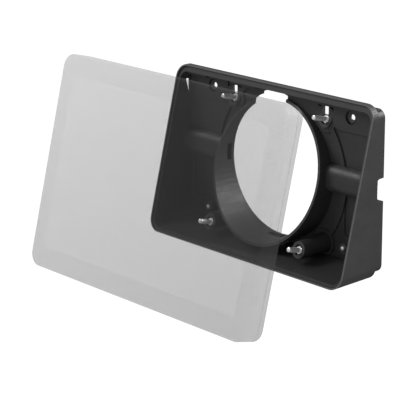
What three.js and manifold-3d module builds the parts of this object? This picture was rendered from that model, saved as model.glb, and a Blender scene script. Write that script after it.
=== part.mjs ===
// Wall-hung smart display and the angled wall mount it hangs on, as separate named pieces.
// Millimetres. +Z is up, the wall is the plane y = 0 and the screen faces -Y.
// The display stands drawn straight off the wall, ready to be pushed onto the mount's four studs.
import * as THREE from 'three';
import { mergeVertices } from 'three/addons/utils/BufferGeometryUtils.js';
import Module from 'manifold-3d';

const wasm = await Module();
wasm.setup();

// ---------------------------------------------------------------- driving dimensions
const GAP = 0.3; // clearance kept between pieces that touch

const TILT = THREE.MathUtils.degToRad(14.6); // the screen leans back from upright
const MOUNT_WIDTH = 216;
const RIM_HEIGHT = 140; // front rim, measured up its slope
const TOP_DEPTH = 12.5;
const MOUNT_HEIGHT = RIM_HEIGHT * Math.cos(TILT);
const BOTTOM_DEPTH = TOP_DEPTH + RIM_HEIGHT * Math.sin(TILT);
const MOUNT_CORNER = 11;
const WALL_POINT_HEIGHT = 5.6; // origin: on the mount's back, above its bottom edge

const FLOOR = 2.4; // thickness of the mount's back
const STEP_DEPTH = 8.2; // the outer wall steps in beside the wall
const STEP_INSET = 1.5; // at the sides
const STEP_INSET_UP = 4.4; // above and below
const STEP_CORNER = 6.5;
const RIM_WALL = 2.5; // wall thickness at the rim and at the back
const BACK_WALL = 3.7;
const LIP_WIDTH = 1.1; // the rim's outer lip stands ahead of a ledge inside it
const LIP_DEPTH = 1.6;

const OPENING_RADIUS = 55.2;
const OPENING_HEIGHT = 66;
const COLLAR_WALL = 2.2;
const COLLAR_SETBACK = 11.25; // collar lip behind the rim, square to the rim

const STUD_X = 50;
const STUD_LOW = 19.6; // up the slope from the rim's bottom edge
const STUD_HIGH = 122;
const STUD_DIAMETER = 4;
const STUD_TIP = 0.5; // ahead of the rim
const STUD_FLATS = 5.6; // across the hexagonal flange
const STUD_FLANGE = 1;
const STUD_ROOT_DIAMETER = 3.6;
const BOSS_RADIUS = 6.4;
const BOSS_FOOT_RADIUS = 10.5;
const BOSS_RECESS = 2; // takes the stud's flange
const BOSS_RECESS_RADIUS = 4.4;
// Name, height up the slope, boss face ahead of the rim, length of the stud's root, depth of its bore.
// The upper bosses are shallow, so their bores go right through the mount's back.
const STUDS = [['bottom', STUD_LOW, -11, 12, 13], ['top', STUD_HIGH, -13, 2.2, 8]];

const CHANNEL_HEIGHT = 70; // middle of the cable channels
const CHANNEL_WIDTH = 18;
const CHANNEL_DEPTH = 8.4;
const CHANNEL_WALL = 2;
const CHANNEL_FLOOR_END = 68;

const WALL_HOLE_X = 75.6;
const WALL_HOLE_HEIGHT = 120;
const WALL_HOLE_DIAMETER = 4.6;
const POST_HEIGHT = 18.2; // up the mount, as far out to each side as the wall holes
const POST = 9.6; // each post holds a small screw
const POST_RADIUS = 4.2;
const POST_SCREW_RADIUS = 1.1;
const POST_SCREW_HEAD = 2.1; // radius of its domed head
const POST_SCREW_LENGTH = 6;

const RELIEF = 1.3; // height of the pads and ribs on the mount's back
const RIB_RADIUS = 70; // ribs round the collar, through the bosses
const RIB_WIDTH = 4;

const DISPLAY_WIDTH = 245;
const DISPLAY_HEIGHT = 169;
const DISPLAY_THICKNESS = 17.2;
const DISPLAY_CORNER = 10.5;
const DISPLAY_RAISE = 3.3; // seated centre above the rim's centre
const PULL = 92.2; // how far the display is drawn off the wall

const GLASS = 1.1;
const CASE_WALL = 2;
const REAR_CHAMFER = 0.8;
const BLOCK_WIDTH = 192; // raised back of the display that nests inside the mount
const BLOCK_DEPTH = 10.9;
const BLOCK_LOW = 10; // up the slope from the rim's bottom edge, when seated
const BLOCK_HIGH = 131;

const HANDS = [['left', -1], ['right', 1]];

// ---------------------------------------------------------------- materials
function matt(color, roughness, metalness = 0) {
  return new THREE.MeshStandardMaterial({ color, roughness, metalness });
}

const MATERIALS = {
  mountPlastic: matt(0x2b2c2e, 0.6),
  stud: matt(0xd8d9db, 0.2, 1),
  glass: matt(0x16181b, 0.08),
  casePlastic: matt(0x3a3c40, 0.5),
  panel: matt(0x1c1f24, 0.25),
  backlight: matt(0xe6e8ea, 0.5),
  sheetMetal: matt(0xaeb2b6, 0.35, 1),
  board: matt(0x1f4a33, 0.55),
  darkPlastic: matt(0x202124, 0.6),
  lightGuide: matt(0xeef0f2, 0.3),
  copper: matt(0xb8793f, 0.35, 1),
  springSteel: matt(0xb9bcc0, 0.3, 1),
};

// ---------------------------------------------------------------- shape helpers
function toSolid(geometry) {
  const bare = geometry.clone();
  bare.deleteAttribute('normal');
  bare.deleteAttribute('uv');
  const merged = mergeVertices(bare, 1e-4);
  return new wasm.Manifold(new wasm.Mesh({
    numProp: 3,
    vertProperties: new Float32Array(merged.attributes.position.array),
    triVerts: new Uint32Array(merged.index.array),
  }));
}

function toGeometry(solid) {
  const mesh = solid.getMesh();
  const geometry = new THREE.BufferGeometry();
  geometry.setAttribute('position', new THREE.BufferAttribute(new Float32Array(mesh.vertProperties), 3));
  geometry.setIndex(new THREE.BufferAttribute(new Uint32Array(mesh.triVerts), 1));
  geometry.computeVertexNormals();
  return geometry;
}

const join = (...solids) => solids.reduce((all, one) => all.add(one));
const cut = (solid, ...tools) => tools.reduce((rest, tool) => rest.subtract(tool), solid);

function roundedRect(width, height, radius, x = 0, y = 0) {
  const [w, h] = [width / 2 - radius, height / 2 - radius];
  const shape = new THREE.Shape();
  shape.absarc(x + w, y + h, radius, 0, Math.PI / 2, false);
  shape.absarc(x - w, y + h, radius, Math.PI / 2, Math.PI, false);
  shape.absarc(x - w, y - h, radius, Math.PI, 1.5 * Math.PI, false);
  shape.absarc(x + w, y - h, radius, 1.5 * Math.PI, 2 * Math.PI, false);
  shape.closePath();
  return shape;
}

// A shape drawn in x and y, from z = low to z = high.
function slab(shape, low, high, curveSegments = 4) {
  const options = { depth: high - low, bevelEnabled: false, curveSegments };
  return toSolid(new THREE.ExtrudeGeometry(shape, options).translate(0, 0, low));
}

function box(width, height, low, high, x = 0, y = 0) {
  return toSolid(new THREE.BoxGeometry(width, height, high - low).translate(x, y, (low + high) / 2));
}

function rod(radius, low, high, x = 0, y = 0, sides = 20) {
  const geometry = new THREE.CylinderGeometry(radius, radius, high - low, sides).rotateX(Math.PI / 2);
  return toSolid(geometry.translate(x, y, (low + high) / 2));
}

// Widens from one radius at z = low to another at z = high.
function cone(lowRadius, highRadius, low, high, x = 0, y = 0, sides = 20) {
  const geometry = new THREE.CylinderGeometry(highRadius, lowRadius, high - low, sides).rotateX(Math.PI / 2);
  return toSolid(geometry.translate(x, y, (low + high) / 2));
}

// Revolved about the z axis from [radius, z] points.
function revolve(points, sides) {
  const profile = points.map(([radius, z]) => new THREE.Vector2(radius, z));
  return toSolid(new THREE.LatheGeometry(profile, sides).rotateX(Math.PI / 2));
}

// Joins two outlines of equal point count, one at z = low and one at z = high.
function taper(lowShape, highShape, low, high, curveSegments = 4) {
  const outline = (shape) => shape.extractPoints(curveSegments).shape;
  const [bottom, top] = [outline(lowShape), outline(highShape)];
  const count = bottom.length;
  const positions = [...bottom.flatMap((p) => [p.x, p.y, low]), ...top.flatMap((p) => [p.x, p.y, high])];
  const index = [];
  for (let i = 0; i < count; i += 1) {
    const next = (i + 1) % count;
    index.push(i, next, count + next, i, count + next, count + i);
    if (i > 0 && i < count - 1) {
      index.push(0, i + 1, i, count, count + i, count + i + 1);
    }
  }
  const geometry = new THREE.BufferGeometry();
  geometry.setAttribute('position', new THREE.Float32BufferAttribute(positions, 3));
  geometry.setIndex(index);
  return toSolid(geometry);
}

function piece(name, solid, material) {
  const mesh = new THREE.Mesh(toGeometry(solid), material);
  mesh.name = name;
  return mesh;
}

// ---------------------------------------------------------------- mount, drawn looking at the wall
// The mount's pieces are drawn with x across, y up and z out from the wall, then stood up by their group.
// A point on the sloping face is given by x, the height up the slope and the distance ahead of the rim.
const slopeTurn = new THREE.Matrix4().makeRotationX(-TILT);

function onSlope(up, ahead) {
  return {
    y: up * Math.cos(TILT) + ahead * Math.sin(TILT),
    z: BOTTOM_DEPTH - up * Math.sin(TILT) + ahead * Math.cos(TILT),
  };
}

// Moves a solid drawn square to the rim, with its z = 0 on the rim plane, into place at x and up the slope.
function placeOnSlope(solid, x, up) {
  const spot = onSlope(up, 0);
  const place = new THREE.Matrix4().makeTranslation(x, spot.y, spot.z).multiply(slopeTurn);
  return solid.transform(place.elements);
}

const beyondSlope = (ahead) => placeOnSlope(box(400, 400, ahead, ahead + 200), 0, RIM_HEIGHT / 2);

function mountOutline(inset, insetUp = inset, radius = MOUNT_CORNER - inset) {
  return roundedRect(MOUNT_WIDTH - 2 * inset, MOUNT_HEIGHT - 2 * insetUp, radius, 0, MOUNT_HEIGHT / 2);
}

function mountShell() {
  const step = slab(mountOutline(STEP_INSET, STEP_INSET_UP, STEP_CORNER), 0, STEP_DEPTH + 1, 5);
  const wedge = slab(mountOutline(0), STEP_DEPTH, BOTTOM_DEPTH + 5, 5);
  const floorOutline = mountOutline(BACK_WALL, STEP_INSET_UP + RIM_WALL);
  const hollow = taper(floorOutline, mountOutline(RIM_WALL), FLOOR, BOTTOM_DEPTH + 6, 5);
  const ledge = slab(mountOutline(LIP_WIDTH), 0, BOTTOM_DEPTH + 5, 5).intersect(beyondSlope(-LIP_DEPTH));
  return cut(join(step, wedge), hollow, ledge, beyondSlope(0));
}

function opening() {
  const notch = new THREE.Shape([
    [-31.5, 106], [6.5, 106], [8, 115], [8, 125.1], [3, 126.4], [-5, 127],
    [-13, 126.6], [-20, 124.2], [-20.5, 122], [-25, 120], [-29, 117],
  ].map(([x, y]) => new THREE.Vector2(x, y)));
  return join(rod(OPENING_RADIUS, -1, 60, 0, OPENING_HEIGHT, 72), slab(notch, -1, 20));
}

const collar = () => rod(OPENING_RADIUS + COLLAR_WALL, 0, 60, 0, OPENING_HEIGHT, 72);

// Extrudes across the mount a shape whose x runs up the mount and whose y runs out from the wall.
function across(shape, from, to) {
  const options = { depth: to - from, bevelEnabled: false, curveSegments: 4 };
  const turn = new THREE.Matrix4().makeBasis(
    new THREE.Vector3(0, 1, 0),
    new THREE.Vector3(0, 0, 1),
    new THREE.Vector3(1, 0, 0),
  );
  return toSolid(new THREE.ExtrudeGeometry(shape, options).applyMatrix4(turn).translate(from, 0, 0));
}

// A round-shouldered cable channel. Its wall stops at the mount's back, and the hollow is cut on past it.
function channelProfile(grow) {
  const base = grow > 0 ? 0 : -1;
  const half = CHANNEL_WIDTH / 2 + grow;
  const top = CHANNEL_DEPTH + grow;
  const corner = 5 + grow;
  const shape = new THREE.Shape();
  shape.moveTo(CHANNEL_HEIGHT + half, base);
  shape.lineTo(CHANNEL_HEIGHT + half, top - corner);
  shape.absarc(CHANNEL_HEIGHT + half - corner, top - corner, corner, 0, Math.PI / 2, false);
  shape.absarc(CHANNEL_HEIGHT + corner - half, top - corner, corner, Math.PI / 2, Math.PI, false);
  shape.lineTo(CHANNEL_HEIGHT - half, base);
  shape.closePath();
  return shape;
}

function channel(side, grow, from, to) {
  const ends = side > 0 ? [from, to] : [-to, -from];
  return across(channelProfile(grow), ...ends);
}

// The channel's hollow has a floor beside the collar, and beyond that it is open to the wall.
function channelHollow(side) {
  const hollow = channel(side, 0, OPENING_RADIUS + COLLAR_WALL + 0.4, MOUNT_WIDTH / 2 + 2);
  return cut(hollow, box(20, CHANNEL_WIDTH + 2, -2, FLOOR, side * (CHANNEL_FLOOR_END - 10), CHANNEL_HEIGHT));
}

// A slot in the left wall for the tip of a release tool, wider towards the top.
function latchSlot() {
  const wedge = new THREE.Shape([[108.5, 3], [121.5, 3], [121.5, 7.4], [108.5, 4.2]]
    .map(([up, out]) => new THREE.Vector2(up, out)));
  return across(wedge, -MOUNT_WIDTH / 2 - 2, -MOUNT_WIDTH / 2 + 6);
}

function studBoss(x, up, face) {
  const spot = onSlope(up, face);
  const reach = BOSS_RADIUS * Math.sin(TILT) + 1;
  const boss = cone(BOSS_RADIUS + spot.z * 0.05, BOSS_RADIUS, FLOOR - 1, spot.z + reach, x, spot.y, 24);
  return cut(boss, placeOnSlope(box(40, 60, face, face + 60), x, up));
}

// Takes the stud's flange and, behind it, the stud's root.
function studPocket(x, up, face, bore) {
  const recess = rod(BOSS_RECESS_RADIUS, face - BOSS_RECESS, face + 5);
  const root = rod(STUD_ROOT_DIAMETER / 2 + GAP, face - BOSS_RECESS - bore, face);
  return placeOnSlope(join(recess, root), x, up);
}

// Thins the back round a wall hole, leaving a low ring with a countersunk hole in it.
function cutWallHole(body, x, y) {
  const radius = WALL_HOLE_DIAMETER / 2;
  const [seat, top] = [1.4, FLOOR];
  const ring = rod(radius + 2.2, 1, top, x, y);
  const thinned = join(cut(body, rod(radius + 3.2, seat, 10, x, y)), ring);
  return cut(thinned, rod(radius, -1, 10, x, y), cone(radius, radius + 1.3, seat, top + 0.01, x, y));
}

// Stiffening ledges under the top wall, as [left, right].
const LEDGES = [[-104, -79], [-51, -22], [41, 104]];

// Raised pad on the back, round each upper wall hole.
const wallPad = (side) => slab(roundedRect(44, 20, 5, side * 80, 118.6), FLOOR - 0.5, FLOOR + RELIEF, 3);

// Shallow recess in the back, below each channel.
const wellRecess = (side) => slab(roundedRect(30, 36, 4, side * 85, 43), FLOOR - 1, FLOOR + 1, 3);

// Raised rib round the collar, from the bottom wall up through the bosses to the top wall.
function sideRib(side) {
  const [low, high] = [FLOOR - 1.2, FLOOR + RELIEF];
  const outer = rod(RIB_RADIUS + RIB_WIDTH / 2, low, high, 0, OPENING_HEIGHT, 72);
  const inner = rod(RIB_RADIUS - RIB_WIDTH / 2, low - 1, high + 1, 0, OPENING_HEIGHT, 72);
  return cut(outer, inner).intersect(box(76, 123.5, low, high, side * 62, 66.75));
}

function mountHousing() {
  let body = join(mountShell(), cut(collar(), beyondSlope(-COLLAR_SETBACK)));
  for (const [left, right] of LEDGES) {
    body = join(body, box(right - left, 4, FLOOR - 0.5, 8.6, (left + right) / 2, 128.6));
  }
  for (const side of [-1, 1]) {
    body = cut(body, wellRecess(side));
    body = join(body, sideRib(side), wallPad(side));
    body = join(body, channel(side, CHANNEL_WALL, OPENING_RADIUS + 1, MOUNT_WIDTH / 2 - 2.5));
    for (const [, up, face] of STUDS) {
      const foot = rod(BOSS_FOOT_RADIUS, 1, FLOOR + RELIEF, side * STUD_X, onSlope(up, face).y);
      body = join(body, studBoss(side * STUD_X, up, face), foot);
    }
    body = join(body, cone(POST_RADIUS + 0.8, POST_RADIUS, 1, POST, side * WALL_HOLE_X, POST_HEIGHT));
  }
  body = cut(body, opening());
  for (const side of [-1, 1]) {
    const window = box(8, 14, 2.9, 7.4, side * (OPENING_RADIUS + 1), CHANNEL_HEIGHT - 1);
    body = cut(body, channelHollow(side), window);
    body = cut(body, box(6.8, 7.2, -1, 9, side * STUD_X - 0.6, 121));
    for (const [, up, face, , bore] of STUDS) {
      body = cut(body, studPocket(side * STUD_X, up, face, bore));
    }
    body = cutWallHole(body, side * WALL_HOLE_X, WALL_HOLE_HEIGHT);
    const bottom = POST - POST_SCREW_LENGTH - GAP;
    body = cut(body, rod(POST_SCREW_RADIUS + GAP, bottom, POST + 1, side * WALL_HOLE_X, POST_HEIGHT, 12));
  }
  const bottomWindow = box(16, 8, 2.9, 9, 0, OPENING_HEIGHT - OPENING_RADIUS - 1);
  return cut(body, bottomWindow, latchSlot());
}

function postScrew(side) {
  const seat = POST + GAP;
  return revolve([
    [0, POST - POST_SCREW_LENGTH],
    [POST_SCREW_RADIUS, POST - POST_SCREW_LENGTH],
    [POST_SCREW_RADIUS, seat],
    [POST_SCREW_HEAD, seat],
    [POST_SCREW_HEAD, seat + 0.5],
    [POST_SCREW_HEAD * 0.8, seat + 1.1],
    [POST_SCREW_HEAD * 0.4, seat + 1.5],
    [0, seat + 1.6],
  ], 16).translate([side * WALL_HOLE_X, POST_HEIGHT, 0]);
}

// Drawn with z = 0 on the rim plane.
function stud(face, root) {
  const shank = STUD_DIAMETER / 2;
  const seat = face - BOSS_RECESS + GAP;
  const pin = revolve([
    [0, seat - root],
    [STUD_ROOT_DIAMETER / 2, seat - root],
    [STUD_ROOT_DIAMETER / 2, seat],
    [shank, seat],
    [shank, STUD_TIP - 0.9],
    [shank * 0.85, STUD_TIP - 0.3],
    [shank * 0.5, STUD_TIP],
    [0, STUD_TIP],
  ], 20);
  return join(pin, rod(STUD_FLATS / Math.sqrt(3), seat, seat + STUD_FLANGE, 0, 0, 6));
}

function buildMount() {
  const mount = new THREE.Group();
  mount.add(piece('mount_housing', mountHousing(), MATERIALS.mountPlastic));
  for (const [hand, side] of HANDS) {
    mount.add(piece(`post_screw_${hand}`, postScrew(side), MATERIALS.stud));
    for (const [level, up, face, root] of STUDS) {
      const solid = placeOnSlope(stud(face, root), side * STUD_X, up);
      mount.add(piece(`display_stud_${level}_${hand}`, solid, MATERIALS.stud));
    }
  }
  return mount;
}

// ---------------------------------------------------------------- display
// The display's pieces are drawn with x across, y up the screen and z = 0 on the front of the glass.
const BACK = -DISPLAY_THICKNESS;
const INNER_BACK = BACK + CASE_WALL;
const BLOCK_BACK = BACK - BLOCK_DEPTH;
const SEATED_CENTRE = RIM_HEIGHT / 2 + DISPLAY_RAISE; // up the slope
const BLOCK_CENTRE = (BLOCK_LOW + BLOCK_HIGH) / 2 - SEATED_CENTRE;
const BLOCK_HEIGHT = BLOCK_HIGH - BLOCK_LOW;
const STUD_ROWS = STUDS.map(([level, up]) => [level, up - SEATED_CENTRE]);
// The display is pulled off level, so each stud rises inside its socket by this much on the way out.
const SOCKET_RISE = BLOCK_DEPTH * Math.tan(TILT);

const SPLIT = -5; // where the rear cover meets the front frame
const SKIRT_WALL = 2.6;
const WINDOW_WIDTH = 229.2; // hole in the front frame that holds the panel
const WINDOW_HEIGHT = 148.2;
const CASE_SCREW_X = 115.5;
const CASE_SCREW_Y = 77.5;
const CASE_SCREW_SEAT = -12;
const LIGHT_LENGTH = 138;
const LIGHT_WIDTH = 1.5;
const SENSOR_Y = 79;

const BOARD_FRONT = -9.2;
const BOARD_BACK = -10.6;
const BOARD_CENTRE_Y = 34;
const BOARD_SCREW_X = 62;
const BOARD_SCREW_ROWS = [['lower', 18], ['upper', 50]];
const BRACKET_FRONT = -6;
const BRACKET_BACK = -6.8;

const BAY_WIDTH = 84; // recess for the plugs, in the raised back
const BAY_HEIGHT = 40;
const BAY_Y = -8;
const BAY_TOP = BAY_Y + BAY_HEIGHT / 2;
const BAY_FLOOR = -15;
const ETHERNET_X = -16;
const USB_X = 16;

const SPEAKER_X = 76;
const SPEAKER_Y = -44;

const frameOutline = (inset) => roundedRect(
  DISPLAY_WIDTH - 2 * inset,
  DISPLAY_HEIGHT - 2 * inset,
  DISPLAY_CORNER - inset,
);

const blockOutline = (inset) => roundedRect(
  BLOCK_WIDTH - 2 * inset,
  BLOCK_HEIGHT - 2 * inset,
  8 - inset,
  0,
  BLOCK_CENTRE,
);

const caseCorners = [-1, 1].flatMap((sx) => [-1, 1].map((sy) => [sx * CASE_SCREW_X, sy * CASE_SCREW_Y]));

// Room for the light strip let into the display's side.
const lightSlot = (side, low, high) => box(3.6, LIGHT_LENGTH + 2 * GAP, low, high, side * DISPLAY_WIDTH / 2);

function frontFrame() {
  const ring = slab(frameOutline(0), SPLIT + GAP, -0.5);
  let frame = cut(ring, slab(frameOutline(0.9), -GLASS - GAP, 1), rod(2.6, -10, 0, 0, SENSOR_Y));
  frame = cut(frame, slab(roundedRect(WINDOW_WIDTH, WINDOW_HEIGHT, 2), -10, 1));
  for (const side of [-1, 1]) {
    frame = cut(frame, lightSlot(side, -10, -2.1));
  }
  for (const [x, y] of caseCorners) {
    frame = cut(frame, rod(1.3, -10, -2.6, x, y, 12));
  }
  return frame;
}

// Hole that a stud enters, long enough upward for the level pull.
function socketHole(x, y, radius, low, high) {
  const shape = roundedRect(2 * radius, 2 * radius + SOCKET_RISE, radius - 0.01, x, y + SOCKET_RISE / 2);
  return slab(shape, low, high, 3);
}

const CLIP_LEDGE = -19.6;

function addStudSocket(cover, x, y) {
  const middle = y + SOCKET_RISE / 2;
  const tower = slab(roundedRect(13, 15, 3, x, middle), BLOCK_BACK + 0.5, -13, 3);
  const hole = socketHole(x, y, STUD_DIAMETER / 2 + 0.5, BLOCK_BACK - 1, -12);
  return cut(join(cover, tower), hole, box(9.2, 11.4, CLIP_LEDGE, -12, x, middle));
}

function addPortBay(cover) {
  const outline = (grow) => roundedRect(BAY_WIDTH + 2 * grow, BAY_HEIGHT + 2 * grow, 4 + grow, 0, BAY_Y);
  const walls = slab(outline(CASE_WALL), BLOCK_BACK + 0.5, BAY_FLOOR + CASE_WALL);
  const bay = slab(outline(0), BLOCK_BACK - 1, BAY_FLOOR);
  const ethernetHole = box(17, 5, -24.6, -10, ETHERNET_X, BAY_TOP + 2.4);
  const usbHole = box(9.6, 5, -19.2, -10, USB_X, BAY_TOP + 2.4);
  return cut(join(cover, walls), bay, ethernetHole, usbHole);
}

function speakerSlots(side) {
  const slots = [];
  for (let i = -3; i <= 3; i += 1) {
    slots.push(box(1.6, 8, -23.7, -18.7, side * SPEAKER_X + i * 3.6, BLOCK_LOW - SEATED_CENTRE));
  }
  return slots;
}

function rearCover() {
  const skirt = slab(frameOutline(0), BACK + REAR_CHAMFER, SPLIT);
  const chamfer = taper(frameOutline(REAR_CHAMFER), frameOutline(0), BACK, BACK + REAR_CHAMFER + 0.01);
  const groove = cut(slab(frameOutline(-1), -12.4, -11.4), slab(frameOutline(0.6), -13, -11));
  let cover = join(skirt, chamfer, slab(blockOutline(0), BLOCK_BACK, INNER_BACK));
  cover = cut(cover, groove, slab(frameOutline(SKIRT_WALL), INNER_BACK, 0));
  cover = cut(cover, slab(blockOutline(CASE_WALL), BLOCK_BACK + CASE_WALL, INNER_BACK + 1));
  for (const [x, y] of caseCorners) {
    cover = join(cover, rod(3.6, INNER_BACK - 1, SPLIT, x, y, 16));
    cover = cut(cover, rod(1.3, BACK - 1, 0, x, y, 12), rod(2.7, BACK - 1, CASE_SCREW_SEAT, x, y, 16));
  }
  cover = addPortBay(cover);
  for (const side of [-1, 1]) {
    for (const [, y] of STUD_ROWS) {
      cover = addStudSocket(cover, side * STUD_X, y);
    }
    cover = cut(cover, lightSlot(side, SPLIT - 0.6, 0), ...speakerSlots(side));
  }
  return cover;
}

function lcdBracket() {
  let tray = slab(roundedRect(238.8, 150, 3), BRACKET_BACK, BRACKET_FRONT);
  tray = cut(tray, slab(roundedRect(36, 6, 2, 0, -64), -10, 0));
  for (const [x, y] of caseCorners) {
    tray = cut(tray, rod(4.2, -10, 0, x, y, 12));
  }
  for (const side of [-1, 1]) {
    for (const [, y] of BOARD_SCREW_ROWS) {
      const standoff = rod(2.6, BOARD_FRONT + GAP, BRACKET_BACK + 0.2, side * BOARD_SCREW_X, y, 12);
      tray = cut(join(tray, standoff), rod(1.05, -20, BRACKET_BACK - 0.1, side * BOARD_SCREW_X, y, 8));
    }
  }
  return tray;
}

function mainBoard() {
  let board = slab(roundedRect(140, 44, 3, 0, BOARD_CENTRE_Y), BOARD_BACK, BOARD_FRONT);
  for (const side of [-1, 1]) {
    for (const [, y] of BOARD_SCREW_ROWS) {
      board = cut(board, rod(1.3, -20, 0, side * BOARD_SCREW_X, y, 12));
    }
  }
  return board;
}

// Screw pointing towards the glass, its head's underside at z = seat.
function screw(headRadius, headHeight, shankRadius, seat, tip, x, y) {
  const points = [
    [0, seat - headHeight],
    [headRadius * 0.8, seat - headHeight],
    [headRadius, seat - headHeight * 0.6],
    [headRadius, seat],
    [shankRadius, seat],
    [shankRadius, tip - shankRadius / 2],
    [shankRadius / 2, tip],
    [0, tip],
  ];
  return revolve(points, 12).translate([x, y, 0]);
}

function ethernetJack() {
  const shell = box(16.4, 21, -24.3, BOARD_BACK - GAP, ETHERNET_X, BAY_TOP + 10.8);
  return cut(shell, box(12, 14, -23.4, -15.4, ETHERNET_X, BAY_TOP + 5));
}

function usbSocket() {
  const mouth = slab(roundedRect(8.4, 2.6, 1.2), -6, 8, 5).rotate([90, 0, 0]);
  const shell = box(9, 7.5, -18.9, BOARD_BACK - GAP, USB_X, BAY_TOP + 4.05);
  return cut(shell, mouth.translate([USB_X, BAY_TOP, -17.2]));
}

function speaker(side) {
  const shell = slab(roundedRect(32, 20, 4), -24.2, -16, 2);
  const diaphragm = cut(rod(8, -16.5, -15.4), revolve([[0, -16], [3, -16], [7, -15], [0, -15]], 20));
  return join(shell, diaphragm).translate([side * SPEAKER_X, SPEAKER_Y, 0]);
}

function statusLight(side) {
  return box(LIGHT_WIDTH, LIGHT_LENGTH, SPLIT - 0.3, -2.4, side * (DISPLAY_WIDTH - LIGHT_WIDTH) / 2);
}

function displayFlex() {
  const route = [[-64, -6], [-64, -7.2], [-62.4, -8.1], [-59, -8.2], [-30, -8.2], [0, -8.2], [13.2, -8.2]];
  const points = route.map(([y, z]) => new THREE.Vector3(0, y, z));
  const path = new THREE.CatmullRomCurve3(points, false, 'centripetal');
  const [thick, wide] = [0.12, 15];
  const section = new THREE.Shape([[-wide, -thick], [wide, -thick], [wide, thick], [-wide, thick]]
    .map(([x, y]) => new THREE.Vector2(x, y)));
  return toSolid(new THREE.ExtrudeGeometry(section, { steps: 16, bevelEnabled: false, extrudePath: path }));
}

// Spring plate whose slot lets the stud through and whose split lets its two arms spread.
function studClip(x, y) {
  const middle = y + SOCKET_RISE / 2;
  const plate = box(8.6, 10.8, CLIP_LEDGE + GAP, CLIP_LEDGE + GAP + 0.6, x, middle);
  return cut(plate, socketHole(x, y, STUD_DIAMETER / 2 + GAP, -30, 0), box(1.2, 8, -30, 0, x, middle - 4));
}

function buildDisplay() {
  const display = new THREE.Group();
  const add = (name, solid, material) => display.add(piece(name, solid, material));
  const { board, casePlastic, copper, darkPlastic, lightGuide, panel, sheetMetal, springSteel } = MATERIALS;
  add('cover_glass', slab(frameOutline(1.2), -GLASS, 0), MATERIALS.glass);
  add('front_frame', frontFrame(), casePlastic);
  add('rear_cover', rearCover(), casePlastic);
  add('touch_sensor', slab(roundedRect(226, 145, 2), -1.8, -1.4, 3), panel);
  add('lcd_panel', slab(roundedRect(228.6, 147.6, 1.5), -3.2, -2.1, 3), panel);
  add('backlight_unit', slab(roundedRect(228.6, 147.6, 1.5), -5.7, -3.5, 3), MATERIALS.backlight);
  add('lcd_bracket', lcdBracket(), sheetMetal);
  add('display_flex', displayFlex(), copper);
  add('flex_connector', box(34, 4, BOARD_FRONT + GAP, -7.8, 0, 15.6), darkPlastic);
  add('main_board', mainBoard(), board);
  add('processor_shield', slab(roundedRect(28, 28, 2, 20, 38), -13.1, BOARD_BACK - GAP, 3), sheetMetal);
  add('heat_spreader', slab(roundedRect(38, 30, 2, 20, 38), -15, -13.4, 3), sheetMetal);
  add('ethernet_jack', ethernetJack(), sheetMetal);
  add('usb_c_jack', usbSocket(), sheetMetal);
  add('microphone_board', box(44, 5.4, -6.2, -5.2, 0, SENSOR_Y - 0.6), board);
  add('light_sensor', box(3, 3, -4.9, -3.6, 0, SENSOR_Y), darkPlastic);
  for (const [hand, side] of HANDS) {
    add(`speaker_${hand}`, speaker(side), darkPlastic);
    add(`antenna_${hand}`, box(34, 7, INNER_BACK + GAP, INNER_BACK + 0.7, side * 90, 72), copper);
    add(`status_light_${hand}`, statusLight(side), lightGuide);
    add(`light_board_${hand}`, box(2.8, 130, -5.7, -5.1, side * 117.6), board);
    for (const [level, y] of BOARD_SCREW_ROWS) {
      const fastener = screw(2.2, 1.3, 0.75, BOARD_BACK - GAP, -7.2, side * BOARD_SCREW_X, y);
      add(`board_screw_${level}_${hand}`, fastener, sheetMetal);
    }
    for (const [level, y] of STUD_ROWS) {
      add(`stud_clip_${level}_${hand}`, studClip(side * STUD_X, y), springSteel);
      const corner = Math.sign(y) * CASE_SCREW_Y;
      const fastener = screw(2.4, 1.4, 1, CASE_SCREW_SEAT - GAP, -2.9, side * CASE_SCREW_X, corner);
      add(`case_screw_${level}_${hand}`, fastener, sheetMetal);
    }
  }
  return display;
}

// ---------------------------------------------------------------- assembly
const assembly = new THREE.Group();
assembly.position.z = -WALL_POINT_HEIGHT;

const mount = buildMount();
mount.rotation.x = Math.PI / 2; // what was drawn out from the wall now runs along -Y
assembly.add(mount);

const display = buildDisplay();
const seated = onSlope(SEATED_CENTRE, GAP + DISPLAY_THICKNESS);
display.position.set(0, -(seated.z + PULL), seated.y);
display.rotation.x = Math.PI / 2 - TILT;
assembly.add(display);

export default assembly;
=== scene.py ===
"""Looks of a wall-hung smart display and its angled mount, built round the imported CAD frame. Metres.

The display is drawn off the mount and shown ghosted, as a tinted see-through skin, so that the mount
stays in view.
"""

import math

import bmesh
import bpy
from mathutils import Matrix, Vector


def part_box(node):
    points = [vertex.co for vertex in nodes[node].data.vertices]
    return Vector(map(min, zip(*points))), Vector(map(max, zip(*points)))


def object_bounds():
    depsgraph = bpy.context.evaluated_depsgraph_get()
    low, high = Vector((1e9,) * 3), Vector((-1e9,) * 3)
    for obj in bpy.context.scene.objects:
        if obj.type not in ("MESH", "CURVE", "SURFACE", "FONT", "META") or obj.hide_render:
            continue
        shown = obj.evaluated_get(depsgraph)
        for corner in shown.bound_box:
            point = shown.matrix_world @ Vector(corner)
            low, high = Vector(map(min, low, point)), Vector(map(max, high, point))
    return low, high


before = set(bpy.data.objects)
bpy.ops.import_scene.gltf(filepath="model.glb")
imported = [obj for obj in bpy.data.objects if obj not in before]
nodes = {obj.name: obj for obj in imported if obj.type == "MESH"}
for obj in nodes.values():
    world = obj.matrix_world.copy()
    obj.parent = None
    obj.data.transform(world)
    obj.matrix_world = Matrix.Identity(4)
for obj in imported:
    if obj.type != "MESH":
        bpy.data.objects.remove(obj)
cad_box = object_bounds()
box_low, box_high = cad_box
box_middle = (box_low + box_high) / 2
MM = 0.001

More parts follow.
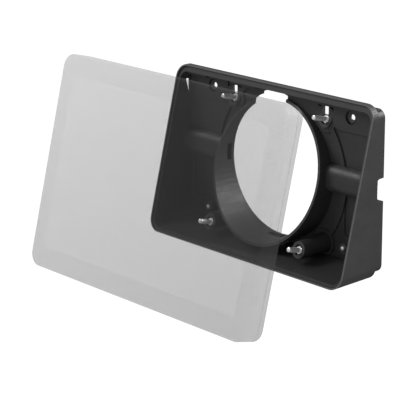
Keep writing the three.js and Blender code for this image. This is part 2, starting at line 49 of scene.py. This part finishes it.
# ---------------------------------------------------------------- camera
LENS_MM, SENSOR_MM = 147.7, 36.0
CAMERA_PLACE = Vector((0.9030, -0.9095, 0.4211))
AZIMUTH, ELEVATION, ROLL = (math.radians(angle) for angle in (47.53, 17.02, -0.40))


def add_camera():
    right = Vector((math.cos(AZIMUTH), math.sin(AZIMUTH), 0))
    back = Vector((
        math.sin(AZIMUTH) * math.cos(ELEVATION),
        -math.cos(AZIMUTH) * math.cos(ELEVATION),
        math.sin(ELEVATION),
    ))
    turn = Matrix((right, back.cross(right), back)).transposed() @ Matrix.Rotation(ROLL, 3, "Z")
    data = bpy.data.cameras.new("camera")
    data.lens = LENS_MM
    data.sensor_width = SENSOR_MM
    data.clip_start, data.clip_end = 0.01, 50
    camera = bpy.data.objects.new("camera", data)
    camera.matrix_world = Matrix.Translation(CAMERA_PLACE) @ turn.to_4x4()
    bpy.context.scene.collection.objects.link(camera)
    bpy.context.scene.camera = camera


# ---------------------------------------------------------------- studio
FLOOR_DROP = 1.15  # the part hangs on a wall, well above the floor
FLOOR_SIZE = 14.0
FLOOR_GREY = 0.5
FLOOR_GLOW = 0.86
SKY_GREYS = (0.30, 0.52, 1.0)  # straight down, level and straight up
SKY_STRENGTH = 0.42
SKY_SEEN = 1.02  # brightness of the plain white that the camera sees
LAMPS = (  # name, place from the part's middle, side in metres, watts
    ("key", (-0.95, -0.8, 1.05), 0.7, 15.0),  # from the upper left, in front of the wall
    ("fill", (0.5, -1.5, 0.3), 1.2, 3.0),  # soft, from the front
    ("rim", (0.75, 0.95, 0.85), 0.7, 25.0),  # from behind and above on the right, through the opening
)


def add_lamps():
    for name, offset, side, watts in LAMPS:
        data = bpy.data.lights.new(name, "AREA")
        data.shape = "RECTANGLE"
        data.size = data.size_y = side
        data.energy = watts
        lamp = bpy.data.objects.new(name, data)
        lamp.location = box_middle + Vector(offset)
        lamp.rotation_euler = (box_middle - lamp.location).to_track_quat("-Z", "Y").to_euler()
        bpy.context.scene.collection.objects.link(lamp)


def add_sky():
    """Bright overhead, dimmer towards the ground, and plain white where the camera sees it."""
    world = bpy.data.worlds.new("studio")
    bpy.context.scene.world = world
    world.use_nodes = True
    tree = world.node_tree
    tree.nodes.clear()
    coords = tree.nodes.new("ShaderNodeTexCoord")
    height = tree.nodes.new("ShaderNodeSeparateXYZ")
    ramp = tree.nodes.new("ShaderNodeValToRGB")
    spread = tree.nodes.new("ShaderNodeMapRange")
    lit = tree.nodes.new("ShaderNodeBackground")
    seen = tree.nodes.new("ShaderNodeBackground")
    path = tree.nodes.new("ShaderNodeLightPath")
    mix = tree.nodes.new("ShaderNodeMixShader")
    out = tree.nodes.new("ShaderNodeOutputWorld")
    spread.inputs["From Min"].default_value = -1
    stops = ramp.color_ramp.elements
    stops.new(0.5)
    for stop, grey in zip(stops, SKY_GREYS, strict=True):
        stop.color = (grey, grey, grey, 1)
    lit.inputs["Strength"].default_value = SKY_STRENGTH
    seen.inputs["Color"].default_value = (1, 1, 1, 1)
    seen.inputs["Strength"].default_value = SKY_SEEN
    link = tree.links.new
    link(coords.outputs["Generated"], height.inputs[0])
    link(height.outputs["Z"], spread.inputs["Value"])
    link(spread.outputs["Result"], ramp.inputs["Fac"])
    link(ramp.outputs["Color"], lit.inputs["Color"])
    link(path.outputs["Is Camera Ray"], mix.inputs["Fac"])
    link(lit.outputs[0], mix.inputs[1])
    link(seen.outputs[0], mix.inputs[2])
    link(mix.outputs[0], out.inputs["Surface"])


def add_floor():
    mesh = bpy.data.meshes.new("floor")
    shape = bmesh.new()
    bmesh.ops.create_grid(shape, x_segments=4, y_segments=4, size=FLOOR_SIZE / 2)
    shape.to_mesh(mesh)
    shape.free()
    floor = bpy.data.objects.new("floor", mesh)
    floor.location = (box_middle.x, box_middle.y, box_low.z - FLOOR_DROP)
    bpy.context.scene.collection.objects.link(floor)
    mesh.materials.append(pale_floor())
    floor.visible_glossy = False


def pale_floor():
    """Chalk-white, with enough glow of its own to stay as bright as the sky behind it."""
    paint = Paint("pale_floor")
    paint.shader.inputs["Base Color"].default_value = (*rgb(FLOOR_GREY), 1)
    paint.shader.inputs["Roughness"].default_value = 0.9
    paint.shader.inputs["Emission Color"].default_value = (1, 1, 1, 1)
    paint.shader.inputs["Emission Strength"].default_value = FLOOR_GLOW
    return paint.material


# ---------------------------------------------------------------- materials
STAIN_SHADE = 0.86  # how dark a stain on metal is, against the clean metal


class Paint:
    """A Principled material and the few node steps that the finishes share."""

    def __init__(self, name):
        self.material = bpy.data.materials.new(name)
        self.material.use_nodes = True
        self.tree = self.material.node_tree
        self.shader = self.tree.nodes["Principled BSDF"]
        self.place = self.node("ShaderNodeTexCoord").outputs["Object"]

    def node(self, kind, **settings):
        made = self.tree.nodes.new(kind)
        for key, value in settings.items():
            setattr(made, key, value)
        return made

    def link(self, source, target):
        self.tree.links.new(source, target)

    def stretched(self, scale):
        mapping = self.node("ShaderNodeMapping")
        mapping.inputs["Scale"].default_value = scale
        self.link(self.place, mapping.inputs["Vector"])
        return mapping.outputs["Vector"]

    def noise(self, grain_mm, detail, vector=None):
        """Noise whose features are about grain_mm across."""
        noise = self.node("ShaderNodeTexNoise")
        noise.inputs["Scale"].default_value = 1 / (grain_mm * MM)
        noise.inputs["Detail"].default_value = detail
        self.link(vector or self.place, noise.inputs["Vector"])
        return noise.outputs["Fac"]

    def spread(self, value, low, high, start=0.3, end=0.7):
        """Takes start..end to low..high."""
        ranged = self.node("ShaderNodeMapRange")
        for key, number in (("From Min", start), ("From Max", end), ("To Min", low), ("To Max", high)):
            ranged.inputs[key].default_value = number
        self.link(value, ranged.inputs["Value"])
        return ranged.outputs["Result"]

    def math(self, operation, *values):
        step = self.node("ShaderNodeMath", operation=operation)
        for socket, value in zip(step.inputs, values, strict=False):
            if isinstance(value, bpy.types.NodeSocket):
                self.link(value, socket)
            else:
                socket.default_value = value
        return step.outputs[0]

    def along(self, direction, start):
        """Distance along a direction from a start point, in metres."""
        dot = self.node("ShaderNodeVectorMath", operation="DOT_PRODUCT")
        dot.inputs[1].default_value = direction
        self.link(self.place, dot.inputs[0])
        return self.math("SUBTRACT", dot.outputs["Value"], direction.dot(start))

    def blend(self, share, low, high):
        """From colour low to colour high, each a linear grey, red, green and blue, or a socket."""
        mix = self.node("ShaderNodeMix", data_type="RGBA")
        for socket, colour in zip((mix.inputs["A"], mix.inputs["B"]), (low, high), strict=True):
            if isinstance(colour, bpy.types.NodeSocket):
                self.link(colour, socket)
            else:
                socket.default_value = (*rgb(colour), 1)
        self.link(share, mix.inputs["Factor"])
        return mix.outputs["Result"]

    def colour(self, socket):
        self.link(socket, self.shader.inputs["Base Color"])

    def roughness(self, value):
        self.link(value, self.shader.inputs["Roughness"])

    def bump(self, height, depth_mm, strength):
        bump = self.node("ShaderNodeBump")
        bump.inputs["Strength"].default_value = strength
        bump.inputs["Distance"].default_value = depth_mm * MM
        self.link(height, bump.inputs["Height"])
        self.link(bump.outputs["Normal"], self.shader.inputs["Normal"])


def rgb(colour):
    return (colour,) * 3 if isinstance(colour, (int, float)) else colour


def moulded_plastic(name, dark, light, rough=(0.46, 0.58), grain_mm=0.35, depth_mm=0.012):
    """Spark-eroded mould grain and a faint flow tone."""
    paint = Paint(name)
    tone = paint.spread(paint.noise(22, 4), 0, 1)
    paint.colour(paint.blend(tone, dark, light))
    paint.roughness(paint.spread(paint.noise(5, 5), *rough))
    paint.bump(paint.noise(grain_mm, 3), depth_mm, 0.6)
    return paint


def metal(name, colour, rough, brushed_mm=0.4, stretch=(1, 1, 0.05), depth_mm=0.003):
    """Fine lines along one way, with slight stains."""
    paint = Paint(name)
    lines = paint.noise(brushed_mm, 3, paint.stretched(stretch))
    stain = paint.spread(paint.noise(4, 4), 0, 1)
    paint.colour(paint.blend(stain, tuple(STAIN_SHADE * channel for channel in rgb(colour)), colour))
    paint.shader.inputs["Metallic"].default_value = 1.0
    paint.roughness(paint.spread(lines, *rough))
    paint.bump(lines, depth_mm, 0.4)
    return paint


def circuit_board(name):
    """Green solder mask over paler copper tracks."""
    paint = Paint(name)
    tracks = paint.node("ShaderNodeTexBrick")
    tracks.inputs["Scale"].default_value = 1 / (3.2 * MM)
    tracks.inputs["Mortar Size"].default_value = 0.06
    paint.link(paint.stretched((1, 0.3, 1)), tracks.inputs["Vector"])
    tone = paint.spread(paint.noise(9, 3), 0, 1)
    mask = paint.blend(tone, (0.008, 0.05, 0.022), (0.012, 0.075, 0.035))
    paint.colour(paint.blend(tracks.outputs["Fac"], mask, (0.03, 0.15, 0.07)))
    paint.roughness(paint.spread(paint.noise(1.5, 3), 0.3, 0.45))
    paint.bump(tracks.outputs["Fac"], 0.03, 0.5)
    return paint


def black_glass():
    """Polished front glass, black-backed, with the faintest haze of handling."""
    paint = Paint("cover_glass")
    haze = paint.spread(paint.noise(30, 4), 0, 1)
    paint.colour(paint.blend(haze, 0.036, 0.044))
    paint.shader.inputs["Specular IOR Level"].default_value = 0.25
    paint.roughness(paint.spread(paint.noise(12, 5), 0.30, 0.38))
    paint.bump(paint.noise(60, 2), 0.02, 0.1)
    return paint


# ---------------------------------------------------------------- where things are on the slope
TILT = math.radians(14.6)  # the screen leans back from upright
UP = Vector((0, math.sin(TILT), math.cos(TILT)))
OUT = Vector((0, -math.cos(TILT), math.sin(TILT)))
RIM_FOOT = Vector((0, -47.79 * MM, -5.6 * MM))  # lowest point of the mount's sloping rim
LIP_HIGHLIGHT_DEPTH = 0.4 * MM  # depth of the painted highlight along the rim's front edge
# grey of the painted highlight on the rim's front edge
LIP_HIGHLIGHT_GREY = 0.08
LIT_SIZE = (217 * MM, 135.6 * MM)  # active area of the panel
GROOVE_DEPTH = 11.4 * MM  # middle of the groove in the case's side, behind the middle of the glass
GROOVE_WIDTH = 1.4 * MM


def glass_middle():
    low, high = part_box("cover_glass")
    return (low + high) / 2


def lit_area(paint):
    """1 over the panel's active area, 0 over the glass's border."""
    middle = glass_middle()
    across = paint.math("COMPARE", paint.along(Vector((1, 0, 0)), middle), 0.0, LIT_SIZE[0] / 2)
    upward = paint.math("COMPARE", paint.along(UP, middle), 0.0, LIT_SIZE[1] / 2)
    return paint.math("MULTIPLY", across, upward)


def groove_line(paint):
    """1 along the groove round the case's side."""
    return paint.math("COMPARE", paint.along(OUT, glass_middle()), -GROOVE_DEPTH, GROOVE_WIDTH / 2)


def painted_lip_highlight(paint):
    """Paints a highlight along the front edge of the mount's rim, as a paler grey band."""
    on_lip = paint.math("GREATER_THAN", paint.along(OUT, RIM_FOOT), -LIP_HIGHLIGHT_DEPTH)
    body = paint.shader.inputs["Base Color"].links[0].from_socket
    paint.colour(paint.blend(on_lip, body, LIP_HIGHLIGHT_GREY))
    return paint


# ---------------------------------------------------------------- the ghosted display
GHOST_TOP, GHOST_BOTTOM = 0.41, 0.52  # opacity at the top and the bottom of its left edge
GHOST_ACROSS = 0.07  # added towards the right edge
GHOST_CASE, GHOST_GROOVE = -0.01, 0.04  # added over the case, and again along its groove
GHOST_LIT = -0.02  # added over the lit area
GHOST_LAYERS = 48  # see-through surfaces that a ray may pass


def ghost(paint, offset=0.0, accent=None, accent_share=0.0):
    """Only the first ghosted surface on a line of sight shows; those behind it are left out."""
    parts = paint.node("ShaderNodeSeparateXYZ")
    paint.link(paint.place, parts.inputs[0])
    opacity = (GHOST_BOTTOM + offset, GHOST_TOP + offset)
    rise = paint.spread(parts.outputs["Z"], *opacity, box_low.z, box_high.z)
    across = paint.spread(parts.outputs["X"], 0, GHOST_ACROSS, box_low.x, box_high.x)
    share = paint.math("ADD", rise, across)
    if accent is not None:
        share = paint.math("MULTIPLY_ADD", accent, accent_share, share)
    path = paint.node("ShaderNodeLightPath")
    first = paint.math("LESS_THAN", path.outputs["Transparent Depth"], 0.5)
    paint.link(paint.math("MULTIPLY", share, first), paint.shader.inputs["Alpha"])
    return paint


def see_through(piece):
    """A ghosted piece takes no light away from the mount."""
    piece.visible_shadow = False
    piece.visible_diffuse = False
    piece.visible_glossy = False


# ---------------------------------------------------------------- finishing the CAD nodes
FLAT_WITHIN = math.radians(1)  # triangles this close to one plane are joined
SHARP_BEYOND = math.radians(28)  # edges sharper than this are rounded
HANDS = ("left", "right")


def smooth_edges(node, width_mm):
    """Rounds a node's sharp edges: flat triangles are joined first, so only real edges are cut."""
    piece = nodes[node]
    flat = piece.modifiers.new("join_flat", "DECIMATE")
    flat.decimate_type = "DISSOLVE"
    flat.angle_limit = FLAT_WITHIN
    round_off = piece.modifiers.new("round_off", "BEVEL")
    round_off.width = width_mm * MM
    round_off.segments = 2
    round_off.limit_method = "ANGLE"
    round_off.angle_limit = SHARP_BEYOND
    round_off.harden_normals = True
    for polygon in piece.data.polygons:
        polygon.use_smooth = True
    shade = piece.modifiers.new("shade", "WEIGHTED_NORMAL")
    shade.keep_sharp = True


def finish_node(node, paint):
    slots = nodes[node].data.materials
    slots.clear()
    slots.append(paint.material)


def paint_mount():
    # the rim's front edge gets a painted highlight, a paler grey band
    plastic = painted_lip_highlight(moulded_plastic("mount_plastic", 0.025, 0.031))
    steel = metal("post_screw_steel", 0.9, (0.3, 0.4), depth_mm=0.001)
    chrome = metal("stud_chrome", 0.92, (0.30, 0.38), depth_mm=0.001)
    chrome.shader.inputs["Metallic"].default_value = 0.6
    finish_node("mount_housing", plastic)
    smooth_edges("mount_housing", 0.35)
    for hand in HANDS:
        finish_node(f"post_screw_{hand}", steel)
        smooth_edges(f"post_screw_{hand}", 0.25)
        for level in ("bottom", "top"):
            finish_node(f"display_stud_{level}_{hand}", chrome)
            smooth_edges(f"display_stud_{level}_{hand}", 0.2)


def paint_display():
    case = moulded_plastic("case_plastic", 0.036, 0.044)
    ghost(case, GHOST_CASE, groove_line(case), GHOST_GROOVE)
    glass = black_glass()
    finish_node("cover_glass", ghost(glass, 0.0, lit_area(glass), GHOST_LIT))
    smooth_edges("cover_glass", 0.35)
    for node in ("front_frame", "rear_cover"):
        finish_node(node, case)
        smooth_edges(node, 0.35)
    guide = ghost(moulded_plastic("light_guide", 0.035, 0.045, (0.25, 0.35)))
    board = ghost(circuit_board("circuit_board"))
    foil = ghost(metal("copper_foil", (0.66, 0.36, 0.2), (0.25, 0.4)))
    sheet = ghost(metal("sheet_metal", 0.55, (0.25, 0.4), 0.8, (1, 0.05, 0.05)))
    spring = ghost(metal("spring_steel", 0.5, (0.2, 0.35)))
    screw = ghost(metal("screw_steel", 0.5, (0.25, 0.4)))
    dark = ghost(moulded_plastic("dark_plastic", 0.02, 0.03))
    panel = ghost(black_glass())
    white = ghost(moulded_plastic("backlight", 0.7, 0.8, (0.3, 0.5), 1.5, 0.01))
    finishes = {
        "touch_sensor": panel, "lcd_panel": panel, "backlight_unit": white, "lcd_bracket": sheet,
        "display_flex": foil, "flex_connector": dark, "main_board": board, "processor_shield": sheet,
        "heat_spreader": sheet, "ethernet_jack": sheet, "usb_c_jack": sheet, "microphone_board": board,
        "light_sensor": dark,
    }
    for hand in HANDS:
        finishes[f"speaker_{hand}"] = dark
        finishes[f"antenna_{hand}"] = foil
        finishes[f"status_light_{hand}"] = guide
        finishes[f"light_board_{hand}"] = board
        for level in ("lower", "upper"):
            finishes[f"board_screw_{level}_{hand}"] = screw
        for level in ("bottom", "top"):
            finishes[f"case_screw_{level}_{hand}"] = screw
            finishes[f"stud_clip_{level}_{hand}"] = spring
    for node, paint in finishes.items():
        finish_node(node, paint)
    for node in ("cover_glass", "front_frame", "rear_cover", *finishes):
        see_through(nodes[node])


# ---------------------------------------------------------------- everything together
add_camera()
add_sky()
add_floor()
add_lamps()
paint_mount()
paint_display()
scene = bpy.context.scene
scene.view_settings.view_transform = "Standard"
scene.cycles.transparent_max_bounces = GHOST_LAYERS
